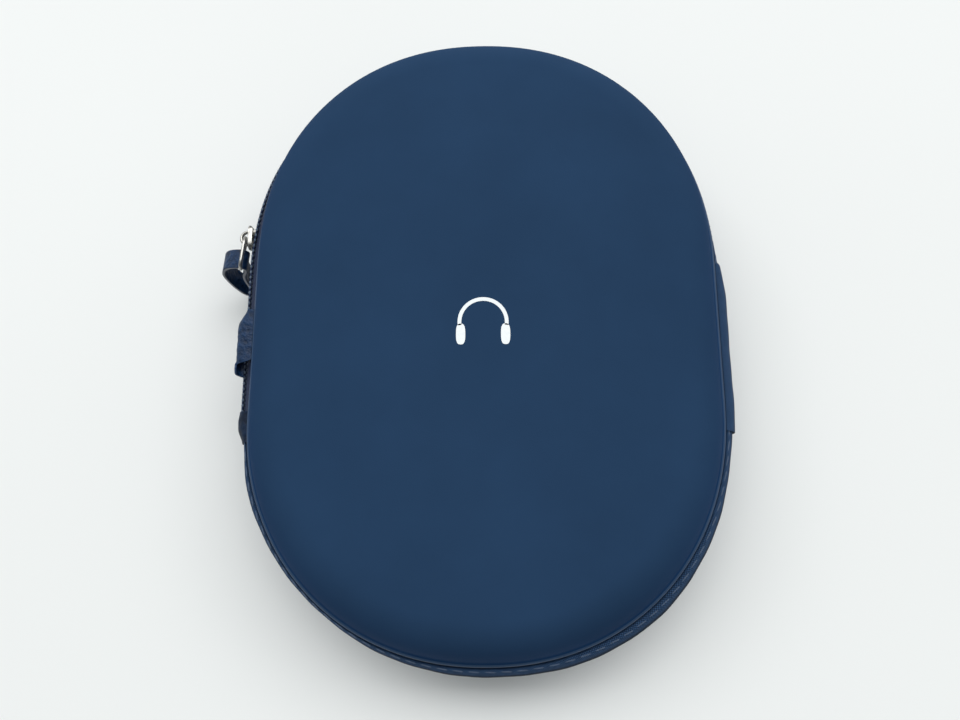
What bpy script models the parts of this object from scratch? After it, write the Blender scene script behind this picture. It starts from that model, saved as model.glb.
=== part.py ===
"""Headphone carrying case: two moulded shells joined by a cloth hinge and a zip.

Metres, +Z up.  The origin is the centre of the flat resting face under the base.  X is across the
case (hinge at +X, zip slider at -X), Y is along it.
"""
import math

import bmesh
import bpy
from mathutils import Matrix, Vector

MM = 0.001

# Driving dimensions, in millimetres.
HALF_WIDTH = 74.5        # lid lip, across
HALF_LENGTH = 100.0      # lid lip, along
STRAIGHT = 22.8          # half of the straight run on each long side
ROUNDNESS = 2.14         # exponent of the rounded ends
HEIGHT = 56.0            # closed case
LIP_HEIGHT = 21.0        # base rim above the floor; the lid's rim is its mirror
FLANGE = 2.0             # flat lip outside the shoulder
LIP_THICKNESS = 1.4
SHOULDER = 13.0          # width of the rounded shoulder
SHOULDER_RISE = 14.0
CROWN_RISE = 5.6
LID_CROWN_RUN = 72.0
BASE_CROWN_RUN = 30.0    # the base is flat further in than this
CENTRE_INSET = 70.0
SHELL_WALL = 3.0
LINER_WALL = 1.5
GAP = 0.3                # between pieces that touch on the real case
SEAM = HEIGHT / 2        # height of the zip's centre line

HINGE_TOP = 23.0         # ends of the cloth hinge on the +X side
HINGE_BOTTOM = -31.0
COIL_IN = 2.8
COIL_OUT = 4.0
COIL_HEIGHT = 1.2
COIL_CLEARANCE = 0.5     # from the seam plane to each coil
TAPE_IN = 1.6
TAPE_OUT = 2.5
STRIP_EDGE = 0.2         # from the seam plane to the hinge cloth

SLIDER_Y = 35.4
SLIDER_LENGTH = 8.4
SLIDER_X = -73.85        # lip line beside the slider
PLATE_IN = 4.95          # outer plate, outside the lip line
PLATE_OUT = 5.55
PLATE_HALF_HEIGHT = 2.7
WEB_HALF_HEIGHT = 0.25
BRIDGE_REACH = 8.5
BRIDGE_HALF_LENGTH = 2.0
WIRE = 0.6               # radius of the pull ring's wire
RING_BAR_OUT = 7.0
RING_HALF_WIDTH = 2.3
RING_CORNER = 1.6
RING_REACH = 10.8
RING_ANGLE = 6.0         # degrees the ring stands off the case
RING_LEAN = 15.0         # degrees its lower side leans outward
STRAP_HALF_WIDTH = 3.3
STRAP_SHIFT = 0.9        # from the middle of the ring towards its far end
INNER_PLATE_HALF_HEIGHT = 2.4
WEB_HALF_LENGTH = 1.8
BRIDGE_WIRE = 0.45
STRAP_HALF_WALL = 0.5

TAB_TOP = 8.6
TAB_BOTTOM = -13.1
COVER_TOP = -26.0
COVER_BOTTOM = -31.5

TRAY_TOP = 20.4
TRAY_FLOOR = 8.0
ISLAND_TOP = 22.0
ISLAND_HALF_WIDTH = 15.0
ISLAND_HALF_LENGTH = 34.0
POCKET_HEIGHT = 41.0
POCKET_MOUTH = -6.0
POCKET_EDGE = -9.8       # from the lip line
HEM_WIDTH = 7.0

END_STEPS = 20
STRAIGHT_STEPS = 4
END_LENGTH = HALF_LENGTH - STRAIGHT

NAVY = (0.012, 0.035, 0.095)
DARK_NAVY = (0.008, 0.018, 0.050)
GREY_NAVY = (0.030, 0.050, 0.095)
LINING = (0.020, 0.024, 0.034)
SILVER = (0.62, 0.62, 0.60)


def clear_scene():
    for item in list(bpy.data.objects):
        bpy.data.objects.remove(item, do_unlink=True)


def new_collection(name):
    collection = bpy.data.collections.new(name)
    bpy.context.scene.collection.children.link(collection)
    return collection


def make_material(name, colour, roughness, metallic=0.0):
    material = bpy.data.materials.new(name)
    material.use_nodes = True
    shader = material.node_tree.nodes["Principled BSDF"]
    shader.inputs["Base Color"].default_value = (*colour, 1.0)
    shader.inputs["Roughness"].default_value = roughness
    shader.inputs["Metallic"].default_value = metallic
    return material


def add_object(name, data, material, collection):
    item = bpy.data.objects.new(name, data)
    collection.objects.link(item)
    data.materials.append(material)
    return item


# Plan outline.  A station is (across, along, y): the point there is
# ((half width + offset) * across, y + (end length + offset) * along).

def signed_power(value):
    return math.copysign(abs(value) ** (2 / ROUNDNESS), value)


def end_stations(first, last, steps):
    stations = []
    for step in range(steps + 1):
        angle = math.radians(first + (last - first) * step / steps)
        side = 1 if first + last < 360 else -1
        across = signed_power(round(math.cos(angle), 9))
        along = signed_power(round(math.sin(angle), 9))
        stations.append((across, along, side * STRAIGHT))
    return stations


def straight_stations(side, start, stop, steps):
    return [(side, 0.0, start + (stop - start) * step / steps) for step in range(1, steps)]


def end_angle(y):
    """Angle on the rounded end at which the lip is y from the middle of the case."""
    return math.degrees(math.asin(((abs(y) - STRAIGHT) / END_LENGTH) ** (ROUNDNESS / 2)))


def full_loop():
    top = end_stations(0, 180, END_STEPS)
    left = straight_stations(-1, STRAIGHT, -STRAIGHT, STRAIGHT_STEPS)
    bottom = end_stations(180, 360, END_STEPS)
    right = straight_stations(1, -STRAIGHT, STRAIGHT, STRAIGHT_STEPS)
    return top + left + bottom + right


def zip_run():
    """From the hinge's upper end, round the case, to its lower end."""
    top = end_stations(end_angle(HINGE_TOP + 3.0), 180, END_STEPS)
    left = straight_stations(-1, STRAIGHT, -STRAIGHT, STRAIGHT_STEPS)
    bottom = end_stations(180, 360 - end_angle(HINGE_BOTTOM - 3.0), END_STEPS)
    return top + left + bottom


def hinge_run():
    bottom = end_stations(360 - end_angle(HINGE_BOTTOM), 360, 2)
    right = straight_stations(1, -STRAIGHT, STRAIGHT, STRAIGHT_STEPS)
    top = end_stations(0, end_angle(HINGE_TOP), 1)
    return bottom + right + top


def tab_run():
    return [(-1, 0.0, TAB_TOP + (TAB_BOTTOM - TAB_TOP) * step / 3) for step in range(4)]


def cover_run():
    return end_stations(180 + end_angle(COVER_TOP), 180 + end_angle(COVER_BOTTOM), 2)


def plan_point(station, offset):
    across, along, y = station
    return (HALF_WIDTH + offset) * across, y + (END_LENGTH + offset) * along


# Profiles are lists of (offset outside the lip, height).

def mirrored(profile):
    return [(offset, HEIGHT - height) for offset, height in profile]


def shoulder_profile(crown_run):
    """Lid's outer surface, from the top of the lip to the centre."""
    rim = HEIGHT - LIP_HEIGHT + LIP_THICKNESS
    profile = []
    insets = [0.0, 0.3, 1.2, 3.0, 6.0, SHOULDER, 32.0, CENTRE_INSET - FLANGE]
    for inset in insets:
        turn = max(0.0, 1 - inset / SHOULDER)
        rise = SHOULDER_RISE * math.sqrt(1 - turn ** 2)
        crown = CROWN_RISE * (1 - max(0.0, 1 - inset / crown_run) ** 2)
        profile.append((-FLANGE - inset, rim + rise + crown))
    return profile


def moved_in(profile, distance):
    """Offset a profile towards the inside of the case, square to itself."""
    result = []
    last = len(profile) - 1
    for index, (offset, height) in enumerate(profile):
        before = profile[max(index - 1, 0)]
        after = profile[min(index + 1, last)]
        run = after[0] - before[0]
        rise = after[1] - before[1]
        length = math.hypot(run, rise)
        result.append((offset - distance * rise / length, height + distance * run / length))
    return result


def clipped(profile, floor):
    """Start a profile square at a given height, dropping what is below it."""
    kept = [point for point in profile if point[1] > floor + 0.4]
    return [(kept[0][0], floor)] + kept


def skin(bm, rows, loop):
    """Join rows of points with quads; with loop, the last station meets the first."""
    layers = [[bm.verts.new((x * MM, y * MM, z * MM)) for x, y, z in row] for row in rows]
    count = len(layers[0])
    spans = count if loop else count - 1
    for lower, upper in zip(layers, layers[1:]):
        for index in range(spans):
            after = (index + 1) % count
            bm.faces.new((lower[index], lower[after], upper[after], upper[index]))
    return layers


def finish_mesh(name, bm, material, collection, sharp=40.0):
    bmesh.ops.recalc_face_normals(bm, faces=bm.faces)
    mesh = bpy.data.meshes.new(name)
    bm.to_mesh(mesh)
    bm.free()
    mesh.shade_smooth()
    mesh.set_sharp_from_angle(angle=math.radians(sharp))
    return add_object(name, mesh, material, collection)


def make_bowl(name, outer, inner, material, collection):
    """Closed shell: outer surface from the centre to the rim, then inner surface back."""
    profile = list(reversed(outer)) + inner
    stations = full_loop()
    rows = [[(*plan_point(station, offset), height) for station in stations]
            for offset, height in profile]
    bm = bmesh.new()
    layers = skin(bm, rows, True)
    bm.faces.new(layers[0])
    bm.faces.new(layers[-1])
    return finish_mesh(name, bm, material, collection)


def make_sweep(name, section, stations, loop, material, collection):
    """Closed section carried along a run of stations."""
    rows = [[(*plan_point(station, offset), height) for station in stations] for offset, height in section]
    bm = bmesh.new()
    layers = skin(bm, rows, loop)
    count = len(layers[0])
    spans = count if loop else count - 1
    for index in range(spans):
        after = (index + 1) % count
        bm.faces.new((layers[-1][index], layers[-1][after], layers[0][after], layers[0][index]))
    if not loop:
        bm.faces.new([layer[0] for layer in layers])
        bm.faces.new([layer[-1] for layer in layers])
    return finish_mesh(name, bm, material, collection)


def make_plate(name, splines, half_thickness, height, material, collection):
    """Flat outline, in plan, as a filled curve."""
    curve = bpy.data.curves.new(name, "CURVE")
    curve.dimensions = "2D"
    curve.fill_mode = "BOTH"
    curve.extrude = half_thickness * MM
    for points in splines:
        spline = curve.splines.new("POLY")
        spline.points.add(len(points) - 1)
        for target, (x, y) in zip(spline.points, points):
            target.co = (x * MM, y * MM, 0, 1)
        spline.use_cyclic_u = True
    item = add_object(name, curve, material, collection)
    item.location.z = height * MM
    return item


def make_wire(name, points, radius, cyclic, material, collection):
    curve = bpy.data.curves.new(name, "CURVE")
    curve.dimensions = "3D"
    curve.bevel_depth = radius * MM
    curve.bevel_resolution = 2
    curve.use_fill_caps = True
    spline = curve.splines.new("POLY")
    spline.points.add(len(points) - 1)
    for target, (x, y, z) in zip(spline.points, points):
        target.co = (x * MM, y * MM, z * MM, 1)
    spline.use_cyclic_u = cyclic
    return add_object(name, curve, material, collection)


def make_block(name, low, high, material, collection, bevel=0.0):
    bm = bmesh.new()
    bmesh.ops.create_cube(bm, size=1.0)
    mesh = bpy.data.meshes.new(name)
    for vert in bm.verts:
        for axis in range(3):
            centre = (low[axis] + high[axis]) / 2
            vert.co[axis] = (centre + vert.co[axis] * (high[axis] - low[axis])) * MM
    bm.to_mesh(mesh)
    bm.free()
    item = add_object(name, mesh, material, collection)
    if bevel:
        modifier = item.modifiers.new("Bevel", "BEVEL")
        modifier.width = bevel * MM
        modifier.segments = 2
    return item


def join_cutter(target, cutter):
    cutter.hide_render = True
    cutter.display_type = "WIRE"
    modifier = target.modifiers.new("Join", "BOOLEAN")
    modifier.operation = "UNION"
    modifier.solver = "EXACT"
    modifier.object = cutter


def band_section():
    """Lid's half of the woven gusset, bulging outward, open side towards the seam."""
    outer = [(-0.6, 34.7), (1.8, 33.9), (3.4, 32.4), (4.1, 30.8), (4.1, 29.95)]
    inner = [(2.95, 29.95), (2.95, 30.8), (2.4, 31.7), (1.2, 32.8), (-0.9, 33.4), (-2.6, 33.5),
             (-2.6, 34.7)]
    return outer + inner


def tape_section(clearance):
    """Cloth from beside the seam plane up to the lip, for the zip tape and for the hinge lining."""
    low = SEAM + clearance
    return [(TAPE_IN, low), (TAPE_OUT, low), (TAPE_OUT, 31.2), (1.8, 31.9), (0.9, 32.4), (0.2, 31.7),
            (TAPE_IN, 30.9)]


def coil_section():
    low = SEAM + COIL_CLEARANCE
    return [(COIL_IN, low), (COIL_OUT - 0.2, low), (COIL_OUT, low + COIL_HEIGHT / 2),
            (COIL_OUT - 0.2, low + COIL_HEIGHT), (COIL_IN, low + COIL_HEIGHT)]


def hinge_section():
    low = SEAM + STRIP_EDGE
    return [(4.45, low), (5.3, low), (5.3, 30.9), (4.4, 32.9), (2.7, 34.3), (2.25, 34.0), (3.8, 32.5),
            (4.45, 30.9)]


def binding_section():
    return [(-6.6, 34.0), (-3.0, 34.0), (-3.0, 34.7), (-6.6, 34.7)]


def make_half(prefix, flip, crown_run, skin_material, cloth, lining, zipper, collection):
    """Shell, liner, binding, band, tape, coil and hinge cloth of one half of the case."""
    lip = HEIGHT - LIP_HEIGHT
    surface = shoulder_profile(crown_run)
    flange = [(-0.3, lip), (0.0, lip + 0.4), (0.0, lip + 0.9), (-0.5, lip + LIP_THICKNESS)]
    outer = flange + surface
    inner = clipped(moved_in(surface, SHELL_WALL), lip)
    liner_outer = clipped(moved_in(surface, SHELL_WALL + GAP), lip)
    liner_inner = clipped(moved_in(surface, SHELL_WALL + GAP + LINER_WALL), lip)
    make_bowl(prefix + "_shell", flip(outer), flip(inner), skin_material, collection)
    make_bowl(prefix + "_liner", flip(liner_outer), flip(liner_inner), lining, collection)
    loop = full_loop()
    run = zip_run()
    hinge = hinge_run()
    make_sweep(prefix + "_seam_binding", flip(binding_section()), loop, True, lining, collection)
    make_sweep(prefix + "_band", flip(band_section()), loop, True, cloth, collection)
    make_sweep(prefix + "_zip_tape", flip(tape_section(COIL_CLEARANCE)), run, False, cloth, collection)
    make_sweep(prefix + "_zip_coil", flip(coil_section()), run, False, zipper, collection)
    make_sweep(prefix + "_hinge_cloth", flip(hinge_section()), hinge, False, cloth, collection)
    make_sweep(prefix + "_hinge_lining", flip(tape_section(STRIP_EDGE)), hinge, False, lining, collection)
    make_sweep(prefix + "_end_cover", flip(hinge_section()), cover_run(), False, skin_material, collection)


def make_grab_tab(material, collection):
    section = [(0.6, 35.0), (3.8, 34.7), (5.2, 33.9), (5.7, 32.7), (5.3, 31.5), (4.6, 31.8),
               (4.9, 32.7), (4.5, 33.4), (3.4, 34.0), (0.6, 34.4)]
    make_sweep("grab_tab", section, tab_run(), False, material, collection)


def make_tray(material, collection):
    surface = shoulder_profile(BASE_CROWN_RUN)
    wall = moved_in(surface, SHELL_WALL + LINER_WALL + 2 * GAP)
    outer = mirrored(clipped(wall, HEIGHT - TRAY_TOP))
    edge = outer[0][0]
    inner = [(edge - 1.0, TRAY_TOP + 0.8), (edge - 5.0, TRAY_TOP + 0.8), (edge - 7.0, TRAY_TOP - 1.5),
             (edge - 8.5, TRAY_FLOOR + 2.5), (edge - 11.0, TRAY_FLOOR), (-CENTRE_INSET, TRAY_FLOOR)]
    make_bowl("tray_insert", outer, inner, material, collection)


def make_island(material, collection):
    """Rounded block in the middle of the tray, between the ear cups."""
    base = TRAY_FLOOR + GAP
    rows = []
    for inset, height in [(0.0, base), (0.0, ISLAND_TOP - 5), (1.5, ISLAND_TOP - 1.5), (5.0, ISLAND_TOP)]:
        row = []
        for step in range(32):
            angle = math.radians(360 * step / 32)
            x = (ISLAND_HALF_WIDTH - inset) * math.cos(angle)
            y = (ISLAND_HALF_LENGTH - inset) * math.sin(angle)
            row.append((x, y, height))
        rows.append(row)
    bm = bmesh.new()
    layers = skin(bm, rows, True)
    bm.faces.new(layers[0])
    bm.faces.new(layers[-1])
    finish_mesh("centre_island", bm, material, collection)


def make_pocket(mesh_material, trim, collection):
    """Flat mesh pocket across the lower half of the lid, with a hem and a bound edge."""
    stations = end_stations(180, 360, END_STEPS)
    outline = [plan_point(station, POCKET_EDGE) for station in stations]
    half = HALF_WIDTH + POCKET_EDGE
    hem_end = POCKET_MOUTH + HEM_WIDTH
    bound_in = POCKET_EDGE + GAP
    bound_out = POCKET_EDGE + 1.4
    outline += [(half, POCKET_MOUTH), (-half, POCKET_MOUTH)]
    make_plate("lid_pocket_mesh", [outline], 0.3, POCKET_HEIGHT, mesh_material, collection)
    low = (-half, POCKET_MOUTH + GAP, POCKET_HEIGHT - 0.6)
    high = (half, hem_end, POCKET_HEIGHT + 0.6)
    make_block("lid_pocket_hem", low, high, trim, collection)
    bound = [(bound_in, POCKET_HEIGHT - 0.8), (bound_out, POCKET_HEIGHT - 0.8),
             (bound_out, POCKET_HEIGHT + 0.8), (bound_in, POCKET_HEIGHT + 0.8)]
    run = [(-1, 0.0, hem_end)] + stations + [(1, 0.0, hem_end)]
    make_sweep("lid_pocket_binding", bound, run, False, trim, collection)


def make_stops(material, collection):
    """Small blocks that close the ends of the base's coil beside the hinge."""
    top_edge = SEAM - COIL_CLEARANCE
    for name, first, last in [("zip_start_stop", end_angle(HINGE_TOP + 0.8), end_angle(HINGE_TOP + 2.7)),
                              ("zip_end_stop", 360 - end_angle(HINGE_BOTTOM - 2.7),
                               360 - end_angle(HINGE_BOTTOM - 0.8))]:
        section = [(COIL_IN, top_edge - COIL_HEIGHT), (COIL_OUT + 0.3, top_edge - COIL_HEIGHT),
                   (COIL_OUT + 0.3, top_edge), (COIL_IN, top_edge)]
        make_sweep(name, section, end_stations(first, last, 1), False, material, collection)


def make_slider(metal, collection, cutters):
    """Two plates astride the coils, held by a thin web, with a bridge for the pull ring."""
    half = SLIDER_LENGTH / 2
    body = make_block("slider_body", (SLIDER_X - PLATE_OUT, SLIDER_Y - half, SEAM - PLATE_HALF_HEIGHT),
                      (SLIDER_X - PLATE_IN, SLIDER_Y + half, SEAM + PLATE_HALF_HEIGHT), metal, collection, 0.2)
    web = make_block("slider_web",
                     (SLIDER_X - PLATE_IN - 0.3, SLIDER_Y - WEB_HALF_LENGTH, SEAM - WEB_HALF_HEIGHT),
                     (SLIDER_X + 0.2, SLIDER_Y + WEB_HALF_LENGTH, SEAM + WEB_HALF_HEIGHT), metal, cutters)
    inner_half = half - 1.0
    inner = make_block("slider_inner_plate",
                       (SLIDER_X - 0.4, SLIDER_Y - inner_half, SEAM - INNER_PLATE_HALF_HEIGHT),
                       (SLIDER_X + 0.5, SLIDER_Y + inner_half, SEAM + INNER_PLATE_HALF_HEIGHT), metal, cutters)
    join_cutter(body, web)
    join_cutter(body, inner)
    foot = PLATE_OUT + GAP
    points = []
    for step in range(9):
        angle = math.pi * step / 8
        reach = foot + (BRIDGE_REACH - foot) * math.sin(angle)
        points.append((SLIDER_X - reach, SLIDER_Y + BRIDGE_HALF_LENGTH * math.cos(angle), SEAM))
    make_wire("slider_bridge", points, BRIDGE_WIRE, False, metal, collection)


def ring_frame():
    """Near end of the ring, its length direction, and its outward level direction."""
    angle = math.radians(RING_ANGLE)
    near = Vector((SLIDER_X - RING_BAR_OUT, SLIDER_Y, SEAM))
    along = Vector((-math.sin(angle), -math.cos(angle), 0))
    outward = Vector((-math.cos(angle), math.sin(angle), 0))
    return near, along, outward


def ring_side():
    """Direction from the ring's middle to its lower long side."""
    lean = math.radians(RING_LEAN)
    outward = ring_frame()[2]
    return outward * math.sin(lean) - Vector((0, 0, math.cos(lean)))


def make_ring(metal, collection):
    near, along, _ = ring_frame()
    side = ring_side()
    reach = RING_REACH - RING_CORNER
    spread = RING_HALF_WIDTH - RING_CORNER
    points = []
    for length, width, start in [(reach, spread, 90), (reach, -spread, 0), (RING_CORNER, -spread, -90),
                                 (RING_CORNER, spread, -180)]:
        for step in range(4):
            angle = math.radians(start - 30 * step)
            point = near + along * (length + RING_CORNER * math.cos(angle))
            points.append(point + side * (width + RING_CORNER * math.sin(angle)))
    make_wire("pull_ring", points, WIRE, True, metal, collection)


def smooth_loop(points, steps):
    """Closed Catmull-Rom curve through the points."""
    result = []
    count = len(points)
    for index in range(count):
        p0, p1, p2, p3 = (Vector(points[(index + shift) % count]) for shift in (-1, 0, 1, 2))
        for step in range(steps):
            t = step / steps
            result.append(0.5 * (2 * p1 + (p2 - p0) * t + (2 * p0 - 5 * p1 + 4 * p2 - p3) * t ** 2
                                 + (3 * p1 - p0 - 3 * p2 + p3) * t ** 3))
    return result


def grown_loop(points, distance):
    """Offset a closed plan loop, square to itself."""
    result = []
    count = len(points)
    for index, point in enumerate(points):
        run = points[(index + 1) % count] - points[index - 1]
        result.append(point + Vector((run.y, -run.x)).normalized() * distance)
    return result


def make_strap(material, collection):
    """Soft loop hung on the ring's lower side.  Its outline is drawn as (outward, up) from that side."""
    near, along, outward = ring_frame()
    middle = near + along * (RING_REACH / 2 + STRAP_SHIFT) + ring_side() * RING_HALF_WIDTH
    hang = [(0.0, 1.35), (-1.3, 0.0), (-0.9, -2.0), (0.4, -4.4), (0.9, -8.0), (0.7, -13.0), (1.1, -17.0),
            (2.4, -18.9), (4.3, -17.4), (6.0, -13.0), (6.9, -8.0), (6.7, -4.4), (5.2, -1.4), (2.6, 0.7)]
    centre_line = smooth_loop(hang, 3)
    walls = [grown_loop(centre_line, side * STRAP_HALF_WALL) for side in (1, -1)]
    strap = make_plate("pull_strap", walls, STRAP_HALF_WIDTH, 0, material, collection)
    up = Vector((0, 0, 1))
    turn = Matrix((outward, up, outward.cross(up))).transposed()
    strap.rotation_euler = turn.to_euler()
    strap.location = middle * MM


def main():
    clear_scene()
    parts = new_collection("headphone_case")
    cutters = new_collection("cutters")
    leather = make_material("moulded_leatherette", NAVY, 0.5)
    cloth = make_material("woven_band", GREY_NAVY, 0.85)
    lining = make_material("soft_lining", LINING, 0.95)
    zipper = make_material("zip_coil", DARK_NAVY, 0.5)
    metal = make_material("silver_metal", SILVER, 0.25, 1.0)
    netting = make_material("stretch_mesh", LINING, 0.9)
    foam = make_material("moulded_foam", LINING, 0.95)
    make_half("lid", list, LID_CROWN_RUN, leather, cloth, lining, zipper, parts)
    make_half("base", mirrored, BASE_CROWN_RUN, leather, cloth, lining, zipper, parts)
    make_grab_tab(leather, parts)
    make_tray(foam, parts)
    make_island(foam, parts)
    make_pocket(netting, lining, parts)
    make_stops(zipper, parts)
    make_slider(metal, parts, cutters)
    make_ring(metal, parts)
    make_strap(leather, parts)


main()
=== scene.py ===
"""Looks of the headphone carrying case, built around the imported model.

Helpers work in millimetres on the frame's own axes and write metres.
"""
import math

import bmesh
import bpy
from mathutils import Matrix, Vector


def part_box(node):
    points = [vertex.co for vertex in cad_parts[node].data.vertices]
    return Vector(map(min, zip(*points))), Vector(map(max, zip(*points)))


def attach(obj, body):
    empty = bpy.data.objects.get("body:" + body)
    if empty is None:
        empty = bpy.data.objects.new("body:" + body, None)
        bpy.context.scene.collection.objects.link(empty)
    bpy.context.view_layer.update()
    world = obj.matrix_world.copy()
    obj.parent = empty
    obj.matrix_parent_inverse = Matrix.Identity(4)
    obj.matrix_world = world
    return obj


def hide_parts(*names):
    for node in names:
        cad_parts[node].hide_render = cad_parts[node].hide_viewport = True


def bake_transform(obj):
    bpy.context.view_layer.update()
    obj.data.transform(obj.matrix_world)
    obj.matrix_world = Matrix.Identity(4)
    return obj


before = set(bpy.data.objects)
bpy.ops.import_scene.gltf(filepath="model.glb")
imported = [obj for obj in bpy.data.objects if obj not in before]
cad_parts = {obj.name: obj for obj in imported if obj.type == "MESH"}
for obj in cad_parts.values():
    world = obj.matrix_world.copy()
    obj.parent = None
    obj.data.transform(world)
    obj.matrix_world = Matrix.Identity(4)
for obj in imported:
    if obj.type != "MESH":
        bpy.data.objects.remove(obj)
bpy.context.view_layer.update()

MM = 0.001

# Outline of the lid's lip, and the heights that everything hangs on, from the frame.
shell_low, shell_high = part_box("lid_shell")
HALF_WIDTH = shell_high[0] / MM
HALF_LENGTH = shell_high[1] / MM
LIP = shell_low[2] / MM
HEIGHT = shell_high[2] / MM
STRAIGHT = 22.8            # half of the straight run of each long side
ROUNDNESS = 2.14           # power of the rounded ends; 2 would be an ellipse
END_LENGTH = HALF_LENGTH - STRAIGHT
SEAM = (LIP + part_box("base_shell")[1][2] / MM) / 2

# Section of the shells.
FLANGE = 2.0               # from the lip's edge in to the foot of the wall
LIP_THICKNESS = 1.4
LIP_WIDTH = 1.1
LIP_DRAWN_IN = 0.75        # on the left side, where the zip shows
SHOULDER = 13.0
SHOULDER_RISE = 14.0
CROWN_RISE = HEIGHT - LIP - LIP_THICKNESS - SHOULDER_RISE
CENTRE_RUN = 70.0          # from the lip's edge in to where the surface closes
LID_CROWN_RUN = 72.0
BASE_CROWN_RUN = 30.0
SHELL_WALL = 3.0
LINER_GAP = 0.3
LINER_WALL = 1.5

# Trim round the side: places along Y, and how far things stand out.
COVER_TOP = -26.0          # left end of the woven band
BAND_REACH = 4.2
ZIP_TUCK = 1.25            # how far in the zip sits where the lip hides it
COIL_OFFSET = 3.3          # from the lip's edge out to the coil, where nothing hides it
COIL_RISE = 0.95           # from the seam to the middle of each half's turns
HINGE_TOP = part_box("lid_hinge_cloth")[1][1] / MM
HINGE_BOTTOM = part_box("lid_hinge_cloth")[0][1] / MM
TAB_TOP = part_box("grab_tab")[1][1] / MM
TAB_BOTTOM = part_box("grab_tab")[0][1] / MM

COIL_PITCH = 1.8
STITCH_PITCH = 4.6
WEAVE_PITCH = 0.8
TWILL_PITCH = 1.15
NET_PITCH = 2.6


# ---------------- outline

def signed_power(value, power):
    return math.copysign(abs(value) ** power, value)


def angles(count):
    """Even steps round a full turn."""
    return [2 * math.pi * step / count for step in range(count)]


def outline_table():
    """Dense stations round the lip from the middle of the +X side, with the distance to each."""
    stations = []
    power = 2 / ROUNDNESS
    for side, start in ((1, 0), (-1, 180)):
        for step in range(24):
            stations.append((side, 0.0, side * STRAIGHT * step / 24))
        for step in range(360):
            angle = math.radians(start + step / 2)
            across, along = signed_power(math.cos(angle), power), signed_power(math.sin(angle), power)
            stations.append((across, along, side * STRAIGHT))
        for step in range(24):
            stations.append((-side, 0.0, side * STRAIGHT * (1 - step / 24)))
    distances = [0.0]
    for index in range(len(stations)):
        first = flat_point(stations[index], 0.0)
        second = flat_point(stations[(index + 1) % len(stations)], 0.0)
        distances.append(distances[-1] + (second - first).length)
    return stations, distances


def flat_point(station, offset):
    across, along, y = station
    return Vector(((HALF_WIDTH + offset) * across, y + (END_LENGTH + offset) * along, 0))


TABLE, DISTANCES = outline_table()
PERIMETER = DISTANCES[-1]


def station_at(distance):
    distance %= PERIMETER
    low, high = 0, len(TABLE)
    while high - low > 1:
        middle = (low + high) // 2
        if DISTANCES[middle] <= distance:
            low = middle
        else:
            high = middle
    share = (distance - DISTANCES[low]) / (DISTANCES[low + 1] - DISTANCES[low])
    first = TABLE[low]
    second = TABLE[(low + 1) % len(TABLE)]
    return tuple(a + (b - a) * share for a, b in zip(first, second))


def place(distance, offset, height):
    """Point beside the lip line, in millimetres."""
    point = flat_point(station_at(distance), offset)
    point.z = height
    return point


def local_axes(distance):
    """Along the lip line, and outward from it."""
    tangent = (place(distance + 0.6, 0, 0) - place(distance - 0.6, 0, 0)).normalized()
    return tangent, Vector((tangent.y, -tangent.x, 0))


def distance_on_side(side, y):
    """Distance at which the lip passes y on the +X or -X side."""
    best = None
    for station, distance in zip(TABLE, DISTANCES):
        point = flat_point(station, 0)
        if point.x * side > 0 and (best is None or abs(point.y - y) < best[0]):
            best = (abs(point.y - y), distance)
    return best[1]


def run_between(first, last, spacing):
    """Distances from first to last, anticlockwise seen from above."""
    if last <= first:
        last += PERIMETER
    count = max(2, round((last - first) / spacing))
    return [first + (last - first) * step / count for step in range(count + 1)]


def whole_loop(spacing):
    count = round(PERIMETER / spacing)
    return [PERIMETER * step / count for step in range(count)]


def ease(value, low, high):
    share = min(1.0, max(0.0, (value - low) / (high - low)))
    return share * share * (3 - 2 * share)


# ---------------- profiles: (offset, height)

def flip(profile):
    return [(offset, 2 * SEAM - height) for offset, height in profile]


def shell_surface(crown_run):
    """Outer surface from the top of the lip, round the shoulder and over the crown to the centre."""
    shoulder_steps, crown_steps = 14, 12
    rim = LIP + LIP_THICKNESS
    quarters = [math.pi / 2 * step / shoulder_steps for step in range(shoulder_steps + 1)]
    insets = [SHOULDER * (1 - math.cos(quarter)) for quarter in quarters]
    span = CENTRE_RUN - FLANGE - SHOULDER
    insets += [SHOULDER + span * (step / crown_steps) for step in range(1, crown_steps + 1)]
    profile = []
    for inset in insets:
        turn = max(0.0, 1 - inset / SHOULDER)
        rise = SHOULDER_RISE * math.sqrt(1 - turn ** 2)
        crown = CROWN_RISE * (1 - max(0.0, 1 - inset / crown_run) ** 2)
        profile.append((-FLANGE - inset, rim + rise + crown))
    return profile


def moved_in(profile, distance):
    """The same profile, set back by a distance at right angles to itself."""
    result = []
    last = len(profile) - 1
    for index, (offset, height) in enumerate(profile):
        before = profile[max(index - 1, 0)]
        after = profile[min(index + 1, last)]
        run, rise = after[0] - before[0], after[1] - before[1]
        length = math.hypot(run, rise)
        result.append((offset - distance * rise / length, height + distance * run / length))
    return result


def clipped(profile, floor):
    """Profile from the floor up, starting with a point on the floor itself."""
    kept = [point for point in profile if point[1] > floor + 0.4]
    return [(kept[0][0], floor)] + kept


# ---------------- meshes

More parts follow.
